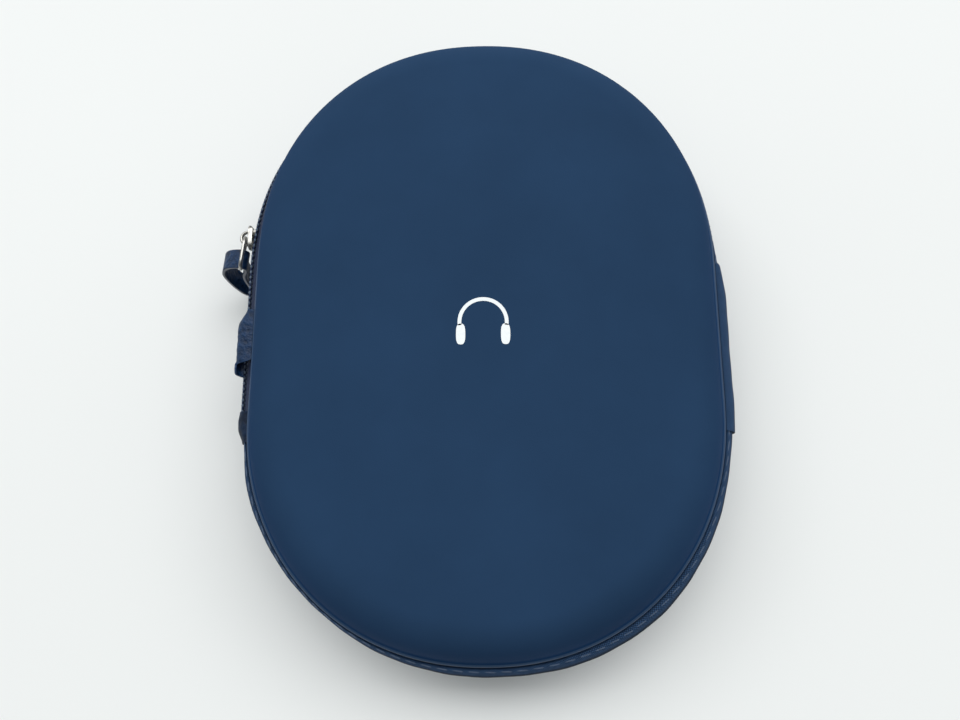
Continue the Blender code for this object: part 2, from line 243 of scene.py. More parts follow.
def lofted(name, rows, us=None, loop_u=False, loop_v=False, caps=""):
    """Quads between rows of points (millimetres), with a UV map in metres.

    us are the distances of the points along a row.  caps closes the first and last rows ("rows") or
    the first and last points of all rows ("ends").
    """
    bm = bmesh.new()
    uv = bm.loops.layers.uv.new("flow")
    grid = [[bm.verts.new(point * MM) for point in row] for row in rows]
    rows_n, cols_n = len(grid), len(grid[0])
    if us is None:
        us = list(range(cols_n))
    us = list(us) + [us[-1] + (us[1] - us[0])]
    middle = cols_n // 2
    vs = [0.0]
    for index in range(rows_n):
        vs.append(vs[-1] + (rows[(index + 1) % rows_n][middle] - rows[index][middle]).length)
    for j in range(rows_n if loop_v else rows_n - 1):
        nj = (j + 1) % rows_n
        for i in range(cols_n if loop_u else cols_n - 1):
            ni = (i + 1) % cols_n
            face = bm.faces.new((grid[j][i], grid[j][ni], grid[nj][ni], grid[nj][i]))
            for loop, (u, v) in zip(face.loops, ((us[i], vs[j]), (us[i + 1], vs[j]),
                                                 (us[i + 1], vs[j + 1]), (us[i], vs[j + 1]))):
                loop[uv].uv = (u * MM, v * MM)
    if caps == "rows":
        bm.faces.new(grid[0])
        bm.faces.new(grid[-1])
    if caps == "ends":
        bm.faces.new([row[0] for row in grid])
        bm.faces.new([row[-1] for row in grid])
    bmesh.ops.recalc_face_normals(bm, faces=bm.faces)
    return mesh_object(name, bm)


def mesh_object(name, bm, sharp=55.0):
    mesh = bpy.data.meshes.new(name)
    bm.to_mesh(mesh)
    bm.free()
    mesh.shade_smooth()
    mesh.set_sharp_from_angle(angle=math.radians(sharp))
    item = bpy.data.objects.new(name, mesh)
    bpy.context.scene.collection.objects.link(item)
    return item


def swept(name, section_at, distances, loop=False):
    """Closed section, which may change along the way, carried along the lip line."""
    columns = [section_at(distance) for distance in distances]
    count = len(columns[0])
    rows = [[place(distance, *columns[i][j]) for i, distance in enumerate(distances)] for j in range(count)]
    return lofted(name, rows, distances, loop_u=loop, loop_v=True, caps="" if loop else "ends")


def bowl(name, outer, inner, spacing=3.0):
    """Closed shell: outer surface from centre to rim, inner surface back to the centre."""
    distances = whole_loop(spacing)
    profile = list(reversed(outer)) + inner
    rows = [[place(distance, *point) for distance in distances] for point in profile]
    return lofted(name, rows, distances, loop_u=True, caps="rows")


def skin_rings(bm, rings):
    """Closed skin over a stack of rings of vertices."""
    count = len(rings[0])
    for first, second in zip(rings, rings[1:]):
        for step in range(count):
            after = (step + 1) % count
            bm.faces.new((first[step], first[after], second[after], second[step]))
    bm.faces.new(rings[0])
    bm.faces.new(rings[-1])


def bead_chain(name, places, length, radius, sides=6, squash=1.0):
    """Many small round-ended rods; each place is (centre, direction, outward)."""
    bm = bmesh.new()
    stops = [(-0.5, 0.25), (-0.46, 0.72), (-0.32, 1.0), (0.32, 1.0), (0.46, 0.72), (0.5, 0.25)]
    for centre, direction, outward in places:
        third = direction.cross(outward)
        rings = []
        for along, size in stops:
            ring = []
            for angle in angles(sides):
                point = centre + direction * (along * length)
                point = point + outward * (radius * size * squash * math.cos(angle))
                point = point + third * (radius * size * math.sin(angle))
                ring.append(bm.verts.new(point * MM))
            rings.append(ring)
        skin_rings(bm, rings)
    bmesh.ops.recalc_face_normals(bm, faces=bm.faces)
    return mesh_object(name, bm, 80.0)


def smooth_path(points, steps, closed):
    """Curve through all the points."""
    result = []
    count = len(points)
    spans = count if closed else count - 1
    for index in range(spans):
        near = [index + shift for shift in (-1, 0, 1, 2)]
        p0, p1, p2, p3 = (points[i % count if closed else min(max(i, 0), count - 1)] for i in near)
        for step in range(steps):
            t = step / steps
            result.append(0.5 * (2 * p1 + (p2 - p0) * t + (2 * p0 - 5 * p1 + 4 * p2 - p3) * t ** 2
                                 + (3 * p1 - p0 - 3 * p2 + p3) * t ** 3))
    if not closed:
        result.append(points[-1])
    return result


def tube(name, points, radius, closed=False, sides=12):
    """Round wire along points, in millimetres."""
    count = len(points)
    rows = [[] for _ in range(sides)]
    side = None
    for index, point in enumerate(points):
        after = points[(index + 1) % count] if closed or index + 1 < count else point
        before = points[index - 1] if closed or index else point
        forward = (after - before).normalized()
        if side is None:
            side = forward.orthogonal()
        side = (side - forward * side.dot(forward)).normalized()
        other = forward.cross(side)
        for row, angle in zip(rows, angles(sides)):
            row.append(point + (side * math.cos(angle) + other * math.sin(angle)) * radius)
    return lofted(name, rows, loop_u=closed, loop_v=True, caps="" if closed else "ends")


def finish(item, body, material, slot, *nodes):
    """Give a piece its material and the body it moves with, and hide the nodes it stands for; slot is not
    used.
    """
    item.data.materials.clear()
    item.data.materials.append(material)
    if body:
        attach(item, body)
    if nodes:
        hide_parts(*nodes)
    return item


# ---------------- materials

def scaled_colour(colour, factor):
    return tuple(min(1.0, part * factor) for part in colour)


class Nodes:
    """Short hand for building one node tree."""

    def __init__(self, tree):
        self.tree = tree

    def new(self, kind, **settings):
        node = self.tree.nodes.new(kind)
        for key, value in settings.items():
            setattr(node, key, value)
        return node

    def link(self, output, target):
        self.tree.links.new(output, target)

    def coordinates(self, which="Object"):
        return self.new("ShaderNodeTexCoord").outputs[which]

    def parts(self, which="Object"):
        """The separate x, y and z of a set of coordinates."""
        split = self.new("ShaderNodeSeparateXYZ")
        self.link(self.coordinates(which), split.inputs[0])
        return split.outputs

    def math(self, operation, *values):
        node = self.new("ShaderNodeMath", operation=operation)
        for socket, value in zip(node.inputs, values):
            if isinstance(value, (int, float)):
                socket.default_value = value
            else:
                self.link(value, socket)
        return node.outputs[0]

    def noise(self, scale, detail=3.0, roughness=0.55):
        node = self.new("ShaderNodeTexNoise")
        node.inputs["Scale"].default_value = scale
        node.inputs["Detail"].default_value = detail
        node.inputs["Roughness"].default_value = roughness
        self.link(self.coordinates(), node.inputs["Vector"])
        return node.outputs["Fac"]

    def cells(self, scale, feature="F1"):
        node = self.new("ShaderNodeTexVoronoi", feature=feature)
        node.inputs["Scale"].default_value = scale
        self.link(self.coordinates(), node.inputs["Vector"])
        return node.outputs["Distance"]

    def ramp(self, factor, stops):
        node = self.new("ShaderNodeValToRGB")
        elements = node.color_ramp.elements
        while len(elements) < len(stops):
            elements.new(0.5)
        for element, (position, colour) in zip(elements, stops):
            element.position = position
            element.color = (*colour, 1)
        self.link(factor, node.inputs["Fac"])
        return node.outputs["Color"]

    def shades(self, factor, colour, *stops):
        """Darker and lighter versions of one colour; each stop is a position and a brightness."""
        return self.ramp(factor, [(position, scaled_colour(colour, level)) for position, level in stops])

    def spread(self, factor, low, high, start=0.0, stop=1.0, kind="LINEAR"):
        """The stretch of factor from start to stop, made to run from low to high."""
        node = self.new("ShaderNodeMapRange", interpolation_type=kind)
        self.link(factor, node.inputs["Value"])
        for socket, value in (("From Min", start), ("From Max", stop), ("To Min", low), ("To Max", high)):
            node.inputs[socket].default_value = value
        return node.outputs["Result"]

    def wave(self, value, pitch):
        return self.math("SINE", self.math("MULTIPLY", value, 2 * math.pi / (pitch * MM)))


class Surface(Nodes):
    """Node tree of one material, around its Principled shader."""

    def __init__(self, name, roughness, metallic=0.0, specular=0.5):
        self.material = bpy.data.materials.new(name)
        self.material.use_nodes = True
        super().__init__(self.material.node_tree)
        self.shader = self.tree.nodes["Principled BSDF"]
        self.shader.inputs["Roughness"].default_value = roughness
        self.shader.inputs["Metallic"].default_value = metallic
        self.shader.inputs["Specular IOR Level"].default_value = specular
        self.normals = []

    def bump(self, height, distance, strength=1.0):
        node = self.new("ShaderNodeBump")
        node.inputs["Distance"].default_value = distance
        node.inputs["Strength"].default_value = strength
        self.link(height, node.inputs["Height"])
        if self.normals:
            self.link(self.normals[-1], node.inputs["Normal"])
        self.normals.append(node.outputs["Normal"])
        self.link(node.outputs["Normal"], self.shader.inputs["Normal"])

    def colour(self, output):
        self.link(output, self.shader.inputs["Base Color"])

    def rough(self, output):
        self.link(output, self.shader.inputs["Roughness"])

    def from_seam(self):
        """Distance above or below the seam, in metres."""
        return self.math("ABSOLUTE", self.math("SUBTRACT", self.parts()[2], SEAM * MM))

    def up_the_wall(self, near, far, start, stop):
        """One colour near the seam, turning into another between two distances from it."""
        mix = self.new("ShaderNodeMix", data_type="RGBA")
        factor, colour_a, colour_b = (mix.inputs[index] for index in (0, 6, 7))
        self.link(self.spread(self.from_seam(), 0.0, 1.0, start, stop, "SMOOTHSTEP"), factor)
        self.link(near, colour_a)
        self.link(far, colour_b)
        return mix.outputs[2]


def leather(name, colour, grain=1500.0, depth=0.00006, roughness=0.78, specular=0.03, wrinkle=0.0,
            shaded_foot_colour=None):
    """Polyurethane skin: fine pebbled grain, faint clouding, a few shinier rubbed patches.

    wrinkle is the depth of creases, for soft trim; the creases also get painted shade and the fold ridges a
    painted highlight.  shaded_foot_colour is the colour of the wall near the seam, darker as painted shade.
    """
    n = Surface(name, roughness, specular=specular)
    clouds = n.noise(28.0, 4.0)
    cloudy = n.shades(clouds, colour, (0.3, 0.93), (0.7, 1.06))
    if shaded_foot_colour:
        # The wall's foot near the seam gets a darker colour: painted shade.
        shaded_foot = n.shades(clouds, shaded_foot_colour, (0.3, 0.93), (0.7, 1.06))
        cloudy = n.up_the_wall(shaded_foot, cloudy, FOOT_SHADE_START, FOOT_SHADE_STOP)
    n.colour(cloudy)
    n.rough(n.spread(n.noise(60.0, 5.0), roughness - 0.06, roughness + 0.08))
    if wrinkle:
        folds = n.noise(420.0, 3.0, 0.6)
        # Colour follows the folds: creases painted darker and ridges painted lighter, as painted shade and
        # highlight.
        n.colour(n.shades(folds, colour, (0.3, 0.55), (0.7, 1.7)))
        n.bump(folds, wrinkle, 0.8)
    n.bump(n.cells(grain, "DISTANCE_TO_EDGE"), depth, 0.35)
    n.bump(n.noise(grain * 1.7, 2.0), depth * 0.6, 0.3)
    return n.material


def woven(name, colour, pitch, seam_shade=False):
    """Plain weave: over and under floats in two directions, lighter where a thread is on top.

    seam_shade darkens the cloth towards the seam: painted shade on the band's lower part.
    """
    n = Surface(name, 0.85, specular=0.12)
    u, v, _ = n.parts("UV")
    weave = n.math("MULTIPLY", n.wave(u, pitch), n.wave(v, pitch))
    raised = n.math("ADD", n.math("MULTIPLY", weave, 0.5), 0.5)
    mottled = n.math("ADD", n.math("MULTIPLY", raised, 0.7), n.math("MULTIPLY", n.noise(700.0, 2.0), 0.3))
    # Painted shade: the band's colour is darkened towards the seam.
    if seam_shade:
        shade = n.spread(n.from_seam(), 0.32, 1.0, SEAM_SHADE_START, SEAM_SHADE_STOP)
        mottled = n.math("MULTIPLY", mottled, shade)
    n.colour(n.shades(mottled, colour, (0.15, 0.3), (0.45, 0.9), (0.85, 2.3)))
    n.bump(raised, 0.00016, 0.8)
    n.bump(n.noise(2600.0, 2.0), 0.00005, 0.5)
    return n.material


def net(name, colour, pitch):
    """Stretch mesh: rows of small dark holes between soft yarns, laid out across the flat panel."""
    n = Surface(name, 0.85, specular=0.15)
    x, y, _ = n.parts()
    holes = n.math("MULTIPLY", n.wave(n.math("ADD", x, y), pitch), n.wave(n.math("SUBTRACT", x, y), pitch))
    raised = n.math("ADD", n.math("MULTIPLY", holes, -0.5), 0.5)
    yarns = n.math("ADD", n.math("MULTIPLY", raised, 0.8), n.math("MULTIPLY", n.noise(900.0, 2.0), 0.2))
    n.colour(n.shades(yarns, colour, (0.2, 0.25), (0.5, 1.0), (0.9, 1.7)))
    n.bump(raised, 0.0002, 0.8)
    return n.material


def twill(name, colour, pitch):
    """Diagonal ribs of a zip tape."""
    n = Surface(name, 0.8, specular=0.25)
    u, v, _ = n.parts("UV")
    rib = n.wave(n.math("ADD", u, v), pitch)
    cross = n.wave(n.math("SUBTRACT", u, v), pitch * 0.6)
    mix = n.math("ADD", n.math("MULTIPLY", rib, 0.36), n.math("MULTIPLY", cross, 0.12))
    raised = n.math("ADD", mix, 0.5)
    n.colour(n.shades(raised, colour, (0.15, 0.5), (0.85, 1.5)))
    n.bump(raised, 0.00014, 0.8)
    return n.material


def fleece(name, colour, scale=1400.0):
    """Brushed lining: short soft pile with a velvet edge."""
    n = Surface(name, 0.95, specular=0.15)
    pile = n.noise(scale, 5.0, 0.7)
    n.colour(n.shades(pile, colour, (0.25, 0.6), (0.75, 1.5)))
    n.bump(pile, 0.00025, 0.7)
    n.bump(n.noise(90.0, 3.0), 0.0004, 0.25)
    n.shader.inputs["Sheen Weight"].default_value = 0.4
    n.shader.inputs["Sheen Roughness"].default_value = 0.6
    return n.material


def thread(name, colour):
    """Twisted thread, or a turn of nylon: slightly glossy, uneven along its length."""
    n = Surface(name, 0.6, specular=0.35)
    strands = n.noise(2400.0, 2.0)
    n.colour(n.shades(strands, colour, (0.3, 0.7), (0.7, 1.25)))
    n.bump(strands, 0.00008, 0.6)
    return n.material


def polished(name, colour, roughness):
    """Plated metal with faint brushing and a little tarnish."""
    n = Surface(name, roughness, metallic=1.0)
    n.colour(n.shades(n.noise(700.0, 4.0), colour, (0.35, 0.86), (0.65, 1.0)))
    n.rough(n.spread(n.noise(1500.0, 3.0), roughness - 0.07, roughness + 0.1))
    n.bump(n.noise(2200.0, 2.0), 0.00002, 0.3)
    return n.material


def two_tone(name, colour_a, colour_b, scale, detail, roughness, specular):
    """Plain finish with a faint change of tone between two colours."""
    n = Surface(name, roughness, specular=specular)
    n.colour(n.ramp(n.noise(scale, detail), [(0.3, colour_a), (0.7, colour_b)]))
    return n.material


# Distances from the seam, in metres: where the painted shade at the skin's foot fades out, and where the
# painted shade on the band's lower part ends.
FOOT_SHADE_START, FOOT_SHADE_STOP = 0.011, 0.024
SEAM_SHADE_START, SEAM_SHADE_STOP = 0.0028, 0.0042

NAVY = (0.0176, 0.0452, 0.0995)
SHADED_FOOT_NAVY = (0.0085, 0.0380, 0.1080)       # painted shade: darker, deeper blue down the wall near the seam
TRIM_NAVY = (0.0060, 0.0250, 0.070)
BAND = (0.022, 0.050, 0.108)
TAPE = (0.012, 0.022, 0.060)
# The coil is coloured much lighter than its dark nylon: painted highlight on the turns.
COIL_HIGHLIGHTED = (0.110, 0.150, 0.210)
LINING = (0.018, 0.022, 0.032)
STITCH = (0.078, 0.122, 0.205)
SILVER = (0.42, 0.41, 0.385)

skin_material = leather("moulded_leatherette", NAVY, shaded_foot_colour=SHADED_FOOT_NAVY)
# The lip's colour is lighter than the skin's: a painted highlight along the lip.
lip_highlight_material = leather("lip_painted_highlight", scaled_colour(NAVY, 1.3), 2500.0, 0.00002, 0.45, 0.3)
cover_material = leather("cover_leatherette", scaled_colour(TRIM_NAVY, 0.45), 900.0, 0.00020, 0.5, 0.2,
                         0.0008)
trim_material = leather("trim_leatherette", TRIM_NAVY, 900.0, 0.00030, 0.45, 0.25, 0.0012)
edge_material = leather("cut_edge", (0.30, 0.31, 0.34), grain=2500.0, roughness=0.7)
band_material = woven("woven_band", BAND, WEAVE_PITCH, seam_shade=True)
tape_material = twill("zip_tape_twill", TAPE, TWILL_PITCH)
highlighted_coil_material = thread("nylon_coil_painted_highlight", COIL_HIGHLIGHTED)
lining_material = fleece("lid_lining", LINING)
tray_material = fleece("tray_fleece", scaled_colour(LINING, 1.15), 1100.0)
binding_material = twill("binding_tape", scaled_colour(LINING, 0.8), 1.6)
stitch_material = thread("stitch_thread", STITCH)
mesh_material = net("stretch_mesh", scaled_colour(LINING, 1.1), NET_PITCH)
metal_material = polished("plated_metal", SILVER, 0.3)
print_material = two_tone("printed_white", (0.80, 0.84, 0.86), (0.88, 0.92, 0.93), 1200.0, 3.0, 0.55, 0.4)
floor_material = two_tone("floor_white", (0.805, 0.820, 0.815), (0.825, 0.841, 0.836), 3.0, 2.0, 0.55, 0.3)


# ---------------- shells and linings

def draw_in_lip(shell):
    """Move the left edge of the lip in a little, along the stretch where the zip shows."""
    for vertex in shell.data.vertices:
        x, y = vertex.co.x / MM, vertex.co.y / MM
        along = ease(y, -52.0, -15.0) * (1 - ease(y, 34.0, 60.0))
        vertex.co.x += LIP_DRAWN_IN * MM * along * ease(-x, HALF_WIDTH - 5.0, HALF_WIDTH)


def make_shell(prefix, turn, crown_run):
    """Moulded half of the case, with a shinier pressed lip painted lighter as a highlight, and the lining
    behind it.
    """
    spacing = 2.5
    surface = shell_surface(crown_run)
    foot = surface[0][1]
    skin = [(offset + 0.9 * math.exp((foot - height) / 1.6), height) for offset, height in surface]
    skin[0] = (skin[0][0], foot + 0.15)
    lip = [(-0.7, LIP + 0.02), (-0.25, LIP + 0.1), (0.0, LIP + 0.35), (0.0, LIP + 0.7),
           (-0.18, LIP + 1.0), (-0.5, LIP + 1.2), (-LIP_WIDTH + 0.3, LIP + LIP_THICKNESS - 0.12)]
    inner = clipped(moved_in(surface, SHELL_WALL), LIP)
    shell = bowl(prefix + "_moulded_shell", turn(lip + skin), turn(inner), spacing)
    finish(shell, prefix, skin_material, "moulded_leatherette", prefix + "_shell")
    shell.data.materials.append(lip_highlight_material)
    draw_in_lip(shell)
    columns = len(whole_loop(spacing))
    first = len(skin) * columns
    # The lip's faces take the lighter lip colour: painted highlight.
    for polygon in shell.data.polygons[first:first + (len(lip) - 3) * columns]:
        polygon.material_index = 1
    outer = clipped(moved_in(surface, SHELL_WALL + LINER_GAP), LIP)
    face = clipped(moved_in(surface, SHELL_WALL + LINER_GAP + LINER_WALL), LIP)
    liner = bowl(prefix + "_lining", turn(outer), turn(face), 3.5)
    finish(liner, prefix, lining_material, "soft_lining", prefix + "_liner")


make_shell("lid", list, LID_CROWN_RUN)
make_shell("base", flip, BASE_CROWN_RUN)


# ---------------- band, tape and binding

LEFT_BAND_END = distance_on_side(-1, COVER_TOP)
RIGHT_BAND_END = distance_on_side(1, HINGE_TOP + 8)
ZIP_SPAN = (distance_on_side(1, HINGE_TOP + 3), distance_on_side(1, HINGE_BOTTOM - 3))


def facing_at(distance):
    """Compass direction that the side faces, in degrees clockwise from +X seen from above."""
    outward = local_axes(distance)[1]
    return math.degrees(math.atan2(-outward.y, outward.x)) % 360


def hump(value, centre, spread):
    return math.exp(-((value - centre) / spread) ** 2)


def bulge_at(distance):
    """How far the woven band stands out: fuller at the lower right, flatter at the lower left.

    It also narrows towards its two ends, and wavers a little on the way.
    """
    facing = facing_at(distance)
    across = facing - 360 if facing > 300 else facing
    along = place(distance, 0, 0).y
    if across < 90:
        narrow_end = 2.2 * ease(along, 12.0, 34.0)
    else:
        narrow_end = 0.45 * ease(along, -95.0, -72.0) + 1.3 * ease(along, -50.0, -30.0)
    waver = 0.07 * math.sin(distance * 0.21) + 0.05 * math.sin(distance * 0.57 + 1.3)
    fullness = -0.25 * hump(across, 10, 12) + 0.85 * hump(across, 50, 26) - 1.5 * hump(across, 126, 26)
    return BAND_REACH + fullness + waver - narrow_end


def tuck_at(distance):
    """How far in the zip sits behind the lip: flush on the left side, hidden elsewhere."""
    facing = facing_at(distance)
    if facing < 90:
        return ZIP_TUCK
    if facing > 180:
        return ZIP_TUCK * ease(facing, 196, 232)
    along = place(distance, 0, 0).y
    return (ZIP_TUCK + 0.6 * hump(along, -38, 8)) * (1 - ease(along, -37.0, -30.0))


def band_section(distance):
    """Woven band: under the lip, a groove, a rounded top that carries the stitches, then down to the seam."""
    reach = bulge_at(distance)
    outer = [(-1.5, 34.0), (-0.7, 33.4), (-0.2, 32.2), (0.15, 31.6), (min(0.5, 0.18 * reach), 31.9),
             (min(0.75, 0.24 * reach), 32.9), (min(1.05, 0.3 * reach), 33.45), (0.36 * reach, 33.55),
             (0.52 * reach, 33.05), (0.68 * reach, 32.2), (0.8 * reach, 31.3), (0.9 * reach, 30.3),
             (0.97 * reach, 29.4), (reach, 28.8), (reach - 0.1, 28.3), (reach - 0.5, 28.12)]
    inner = [(reach - 0.7, 28.8), (0.84 * reach - 0.6, 30.3), (0.68 * reach - 0.6, 31.3),
             (0.42 * reach - 0.5, 31.5), (-0.6, 31.0), (-1.7, 33.2)]
    return outer + inner


def tape_section(distance):
    """Zip tape from under the lip to the coil."""
    tuck = tuck_at(distance)
    outer = [(-1.4, 34.7), (-0.3, 34.1), (0.3, 33.3), (0.95, 32.3), (1.5, 31.3), (2.0, 30.3),
             (2.5, 29.4), (2.75, 28.5)]
    inner = [(2.1, 28.5), (1.85, 29.4), (1.4, 30.4), (0.9, 31.4), (0.3, 32.4), (-0.4, 33.2), (-1.6, 33.9)]
    return [(offset - tuck * ease(offset, -0.5, 2.0), height) for offset, height in outer + inner]


def make_gusset(prefix, turn):
    """Woven band, zip tape and seam binding of one half."""
    band = swept(prefix + "_woven_band", lambda distance: turn(band_section(distance)),
                 run_between(LEFT_BAND_END, RIGHT_BAND_END, 2.2))
    finish(band, prefix, band_material, "woven_band", prefix + "_band")
    tape = swept(prefix + "_zip_cloth", lambda distance: turn(tape_section(distance)),
                 run_between(*ZIP_SPAN, 2.2))
    finish(tape, prefix, tape_material, "zip_tape", prefix + "_zip_tape")
    section = turn([(-6.7, 34.05), (-3.2, 33.9), (-2.9, 34.2), (-3.1, 34.7), (-6.6, 34.75), (-7.0, 34.4)])
    binding = swept(prefix + "_binding", lambda distance: section, whole_loop(3.0), True)
    finish(binding, prefix, binding_material, "binding_tape", prefix + "_seam_binding")


def make_stitches(prefix, turn, up):
    """Row of stitches along the top of the woven band, each tilted a little out of the cloth."""
    stitches = []
    for distance in run_between(LEFT_BAND_END + 3, RIGHT_BAND_END - 2, STITCH_PITCH)[:-1]:
        tangent, outward = local_axes(distance)
        slope = (outward * 0.5 + Vector((0, 0, 0.86 * up))).normalized()
        spot = turn([(0.41 * bulge_at(distance), 33.46)])[0]
        stitches.append((place(distance, *spot), (tangent + slope * 0.10).normalized(), slope))
    chain = bead_chain(prefix + "_band_stitches", stitches, 3.2, 0.23, squash=0.7)
    finish(chain, prefix, stitch_material, "woven_band")


make_gusset("lid", list)
make_stitches("lid", list, 1)
make_gusset("base", flip)
make_stitches("base", flip, -1)


# ---------------- zip coil

def make_coil(prefix, sign, shift):
    """Nylon turns over a sewn cord; the two halves sit half a pitch apart so that they mesh."""
    teeth = []
    for distance in run_between(*ZIP_SPAN, COIL_PITCH)[:-1]:
        distance += shift * COIL_PITCH
        tangent, outward = local_axes(distance)
        direction = (Vector((0, 0, 1)) + tangent * 0.28 * sign).normalized()
        centre = place(distance, COIL_OFFSET - tuck_at(distance), SEAM + sign * COIL_RISE)
        teeth.append((centre, direction, outward))
    chain = bead_chain(prefix + "_coil_turns", teeth, 1.5, 0.62, squash=0.72)
    finish(chain, prefix, highlighted_coil_material, "zip_coil", prefix + "_zip_coil")

    def cord_section(distance):
        middle = COIL_OFFSET - tuck_at(distance)
        return [(middle + 0.42 * math.cos(angle), SEAM + sign * (1.05 + 0.5 * math.sin(angle)))
                for angle in angles(10)]

    cord = swept(prefix + "_coil_cord", cord_section, run_between(*ZIP_SPAN, 1.5))
    finish(cord, prefix, tape_material, "zip_tape")


make_coil("lid", 1, 0.0)
make_coil("base", -1, 0.5)


# ---------------- trim on the gusset

def make_end_covers():
    """Short folded patch over the end of the zip and of the woven band, on the left side."""
    first = distance_on_side(-1, COVER_TOP + 1.2)
    last = distance_on_side(-1, COVER_TOP - 8.6)
    length = last - first
    for prefix, turn in (("lid", list), ("base", flip)):
        def section(distance):
            share = (distance - first) / length
            reach = 3.7 + 0.45 * ease(share, 0.0, 0.3) - 1.35 * ease(share, 0.5, 1.0)
            outer = [(-0.9, 34.8), (0.4, 34.5), (0.45 * reach, 33.9), (0.75 * reach, 32.7),
                     (0.93 * reach, 31.0), (reach, 29.4), (reach - 0.1, 28.15)]
            inner = [(reach - 0.9, 28.15), (0.85 * reach - 0.6, 30.6), (0.5 * reach - 0.6, 32.6),
                     (-0.6, 33.8)]
            return turn(outer + inner)

        cover = swept(prefix + "_band_end_patch", section, run_between(first, last, 0.6))
        finish(cover, prefix, cover_material, "trim_leatherette", prefix + "_end_cover")


def make_tab():
    """Folded leatherette grip: slanted upper end, open rounded lower end."""
    first = distance_on_side(-1, TAB_TOP)
    last = distance_on_side(-1, TAB_BOTTOM)
    length = last - first
    corner = 1.3

    def section(distance):
        along = distance - first
        rounding = min(1.0, max(0.0, (along - length + corner) / corner))
        crease = 0.05 * math.sin(along * 1.1) + 0.03 * math.sin(along * 2.9 + 1)
        reach = 2.3 + 2.8 * ease(along, -0.8, 5.6) + crease - corner * (1 - math.sqrt(1 - rounding ** 2))
        open_end = ease(along, length - 5.4, length - 3.6)
        root = -0.4 + (reach - 0.35) * open_end
        tucked_in = min(3.1, reach - 1.4)
        top = 34.95 - 0.7 * open_end
        outer = [(root, top), (0.62 * reach + 0.38 * root, top - 0.1),
                 (0.8 * reach + 0.2 * root, 34.35 - 0.2 * open_end), (reach - 0.35, 33.7), (reach, 32.8),
                 (reach - 0.1, 31.9), (reach - 0.6, 31.2), (reach - 1.3, 30.85), (tucked_in, 30.7)]
        inner = [(tucked_in, 31.05), (reach - 1.25, 31.25), (reach - 0.85, 31.6),
                 (reach - 0.55, 32.3), (reach - 0.6, 33.0), (reach - 0.7, 33.5),
                 (0.6 * reach + 0.4 * root, top - 0.65), (root, top - 0.6)]
        return outer + inner

    tab = swept("grip_tab", section, run_between(first, last, 0.4))
    finish(tab, "lid", trim_material, "trim_leatherette", "grab_tab")


make_end_covers()
make_tab()


# ---------------- cloth across the hinge

def hinge_sheet(name, half_line, thickness, span, material, slot, nodes):
    """One strip of cloth from the lid to the base.  half_line runs from the top edge down to the seam."""
    line = half_line + flip(half_line)[-2::-1]
    line = [tuple(point) for point in smooth_path([Vector(point) for point in line], 4, False)]
    outline = moved_in(line, thickness / 2) + moved_in(line, -thickness / 2)[::-1]

    def section(distance):
        extra = bulge_at(distance) - bulge_at(span[0])
        return [(offset + extra * ease(offset, 0.0, 4.0), height) for offset, height in outline]

    distances = run_between(*span, 2.0)
    cloth = swept(name, section, distances)
    finish(cloth, None, material, slot, *nodes)
    seam = place(sum(span) / 2, line[0][0], SEAM) * MM
    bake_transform(cloth)


HINGE_SPAN = (distance_on_side(1, HINGE_BOTTOM) - PERIMETER, distance_on_side(1, HINGE_TOP))
cover_line = [(0.75, 33.7), (1.5, 33.75), (2.4, 33.4), (3.2, 32.3), (3.9, 31.0), (4.35, 29.6), (4.55, SEAM)]
hinge_sheet("hinge_cloth_strip", cover_line, 0.7, HINGE_SPAN, band_material, "woven_band",
            ("lid_hinge_cloth", "base_hinge_cloth"))
tuck_line = [(0.0, 33.4), (0.9, 32.2), (1.3, 31.0), (1.4, 30.0), (1.3, 29.2), (1.15, 28.6), (1.1, SEAM)]
hinge_sheet("hinge_lining_strip", tuck_line, 0.5, HINGE_SPAN, binding_material, "binding_tape",
            ("lid_hinge_lining", "base_hinge_lining"))


# ---------------- zip stops

for stop in ("zip_start_stop", "zip_end_stop"):
    stop_low, stop_high = (Vector(corner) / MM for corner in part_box(stop))
    stop_middle = (stop_low + stop_high) / 2 + Vector((-1.3, 0, 0.1))
    clamps = [(stop_middle, Vector((0, 1, 0)), Vector((1, 0, 0)))]
    clamp = bead_chain(stop + "_clamp", clamps, stop_high.y - stop_low.y, 0.7, sides=12)
    finish(clamp, "base", highlighted_coil_material, "zip_coil", stop)


# ---------------- slider, ring and strap

slider_low, slider_high = (Vector(corner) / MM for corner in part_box("slider_body"))
SLIDER_Y = (slider_low.y + slider_high.y) / 2
SLIDER_LENGTH = slider_high.y - slider_low.y
PLATE_FACE = slider_low.x                    # outer face of the outer plate
PLATE_BACK = slider_high.x                   # back face of the inner plate
RIB_OFFSET = 2.28                            # from the seam to the folded edges of the outer plate


def slab(bm, outline, face, depth, rounding):
    """Plate with a softened edge; outline is a list of (y, z) about the slider's middle, facing -X."""
    layers = []
    for inset, x in ((rounding, face), (rounding * 0.3, face + rounding * 0.3), (0, face + rounding),
                     (0, face + depth - rounding), (rounding, face + depth)):
        layer = []
        for y, z in outline:
            share = 1 - inset / math.hypot(y, z)
            layer.append(bm.verts.new(Vector((x, SLIDER_Y + y * share, SEAM + z * share)) * MM))
        layers.append(layer)
    skin_rings(bm, layers)


def shield(half_length, wide, narrow, steps=48):
    """Rounded outline, wide towards +Y where the two halves of the coil part."""
    outline = []
    for angle in angles(steps):
        y = half_length * signed_power(math.cos(angle), 0.62)
        width = narrow + (wide - narrow) * (y / half_length + 1) / 2
        outline.append((y, width * signed_power(math.sin(angle), 0.62)))
    return outline


